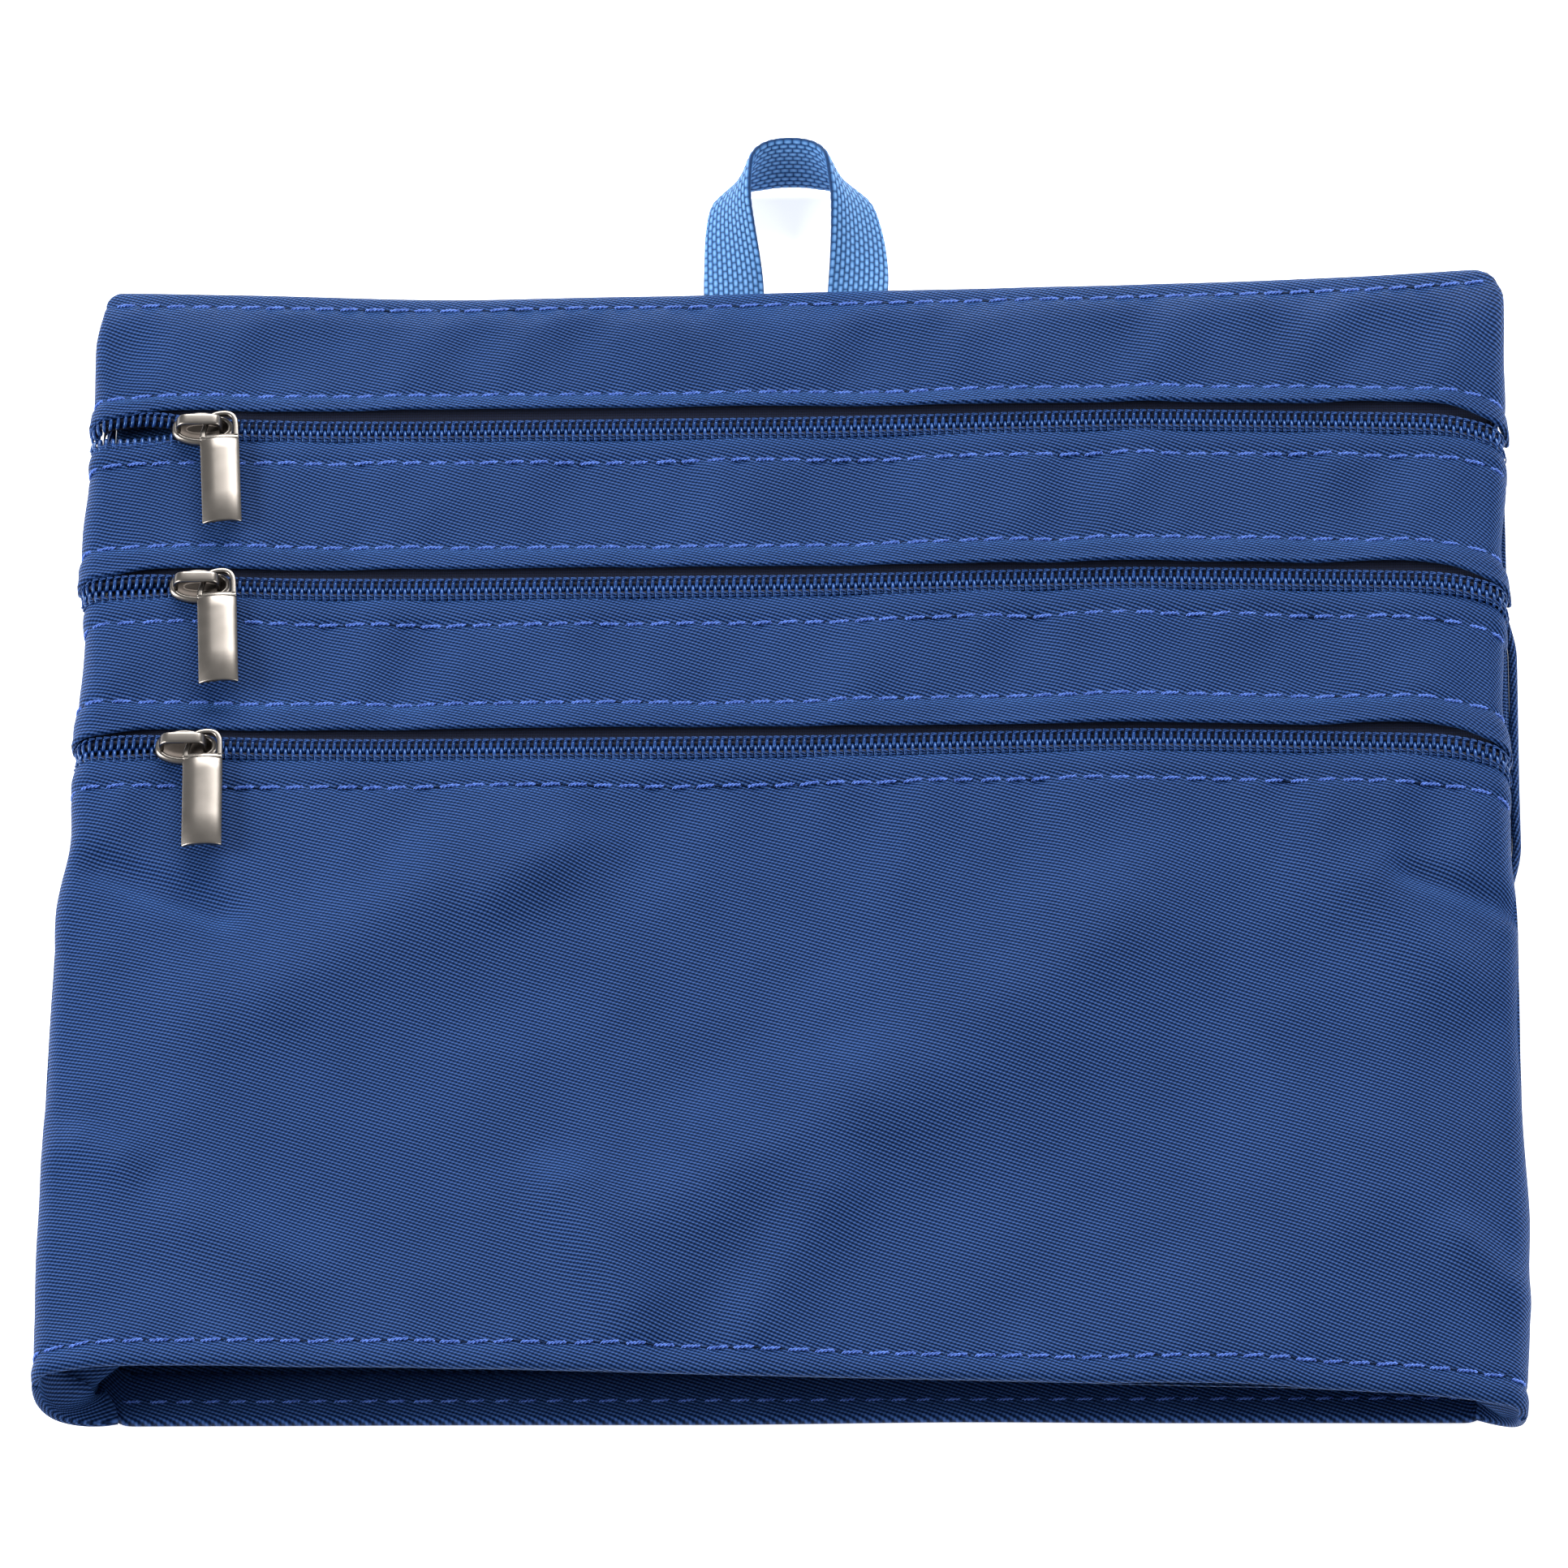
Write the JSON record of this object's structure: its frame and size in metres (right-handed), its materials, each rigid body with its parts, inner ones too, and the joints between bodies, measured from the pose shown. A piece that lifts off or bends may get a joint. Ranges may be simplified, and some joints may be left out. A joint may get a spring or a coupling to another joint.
{
  "type": "travel document organizer",
  "caption": "Flat fabric travel document sleeve, open at its hem between side gussets, with zipped pockets on its face and a webbing hanging loop at the top seam.",
  "frame": {"origin": "middle of the whole outline, loop included, on the plane the back panel lies on", "axes": "+Z out of the face, +Y from the open hem to the hanging loop, +X along the zippers towards their closed ends"},
  "size_m": [0.242, 0.2436, 0.0183],
  "materials": {
    "twill": "satin navy-blue fine polyester twill",
    "lining": "thin dark grey woven lining",
    "zipper_tape": "woven navy-blue zipper tape",
    "zipper_coil": "navy-blue nylon coil",
    "thread": "twisted violet-blue polyester thread",
    "webbing": "light blue woven polyester webbing",
    "nickel": "polished warm grey nickel plate on die-cast zinc"
  },
  "bodies": {
    "root": {"back_panel": "twill", "back_hem_facing": "twill", "back_hem_topstitch": "thread", "top_seam_allowance": "twill", "left_side_seam": "twill", "right_side_seam": "twill", "left_gusset": "twill", "right_gusset": "twill"},
    "front": {"top_band": "twill", "upper_band": "twill", "middle_band": "twill", "lower_panel": "twill", "front_hem_facing": "twill", "pocket_divider_front": "lining", "pocket_divider_rear": "lining", "sleeve_front_wall": "twill", "zipper_1_upper_tape": "zipper_tape", "zipper_1_lower_tape": "zipper_tape", "zipper_1_upper_coil": "zipper_coil", "zipper_1_lower_coil": "zipper_coil", "zipper_2_upper_tape": "zipper_tape", "zipper_2_lower_tape": "zipper_tape", "zipper_2_upper_coil": "zipper_coil", "zipper_2_lower_coil": "zipper_coil", "zipper_3_upper_tape": "zipper_tape", "zipper_3_lower_tape": "zipper_tape", "zipper_3_upper_coil": "zipper_coil", "zipper_3_lower_coil": "zipper_coil", "topstitch_top_edge": "thread", "topstitch_hem": "thread", "topstitch_above_zipper_1": "thread", "topstitch_below_zipper_1": "thread", "topstitch_above_zipper_2": "thread", "topstitch_below_zipper_2": "thread", "topstitch_above_zipper_3": "thread", "topstitch_below_zipper_3": "thread"},
    "slider_1": {"slider_1_body": "nickel"},
    "pull_1": {"slider_1_pull": "nickel"},
    "slider_2": {"slider_2_body": "nickel"},
    "pull_2": {"slider_2_pull": "nickel"},
    "slider_3": {"slider_3_body": "nickel"},
    "pull_3": {"slider_3_pull": "nickel"},
    "loop": {"hanging_loop": "webbing"}
  },
  "joints": [
    {"name": "sleeve_open", "type": "hinge", "parent": "root", "child": "front", "pos_m": [0, 0.09315, 0.002], "axis": [-1, 0, 0], "range_deg": [-2.4, 4.5], "deforming": ["left_gusset", "right_gusset"]},
    {"name": "zip_1", "type": "slide", "parent": "front", "child": "slider_1", "axis": [1, 0, 0], "range_m": [-0.009, 0.207]},
    {"name": "pull_1_swivel", "type": "hinge", "parent": "slider_1", "child": "pull_1", "pos_m": [-0.0996, 0.06372, 0.00968], "axis": [0, 0.0535, 0.9986], "range_deg": [0, 140]},
    {"name": "zip_2", "type": "slide", "parent": "front", "child": "slider_2", "axis": [1, 0, 0], "range_m": [-0.009, 0.207]},
    {"name": "pull_2_swivel", "type": "hinge", "parent": "slider_2", "child": "pull_2", "pos_m": [-0.0984, 0.03127, 0.01142], "axis": [0, 0.0535, 0.9986], "range_deg": [0, 140]},
    {"name": "zip_3", "type": "slide", "parent": "front", "child": "slider_3", "axis": [1, 0, 0], "range_m": [-0.009, 0.207]},
    {"name": "pull_3_swivel", "type": "hinge", "parent": "slider_3", "child": "pull_3", "pos_m": [-0.0991, -0.00119, 0.01316], "axis": [0, 0.0535, 0.9986], "range_deg": [0, 140]},
    {"name": "loop_lift", "type": "hinge", "parent": "root", "child": "loop", "pos_m": [-0.0015, 0.09475, 0.002], "axis": [1, 0, 0], "range_deg": [0, 95]}
  ]
}
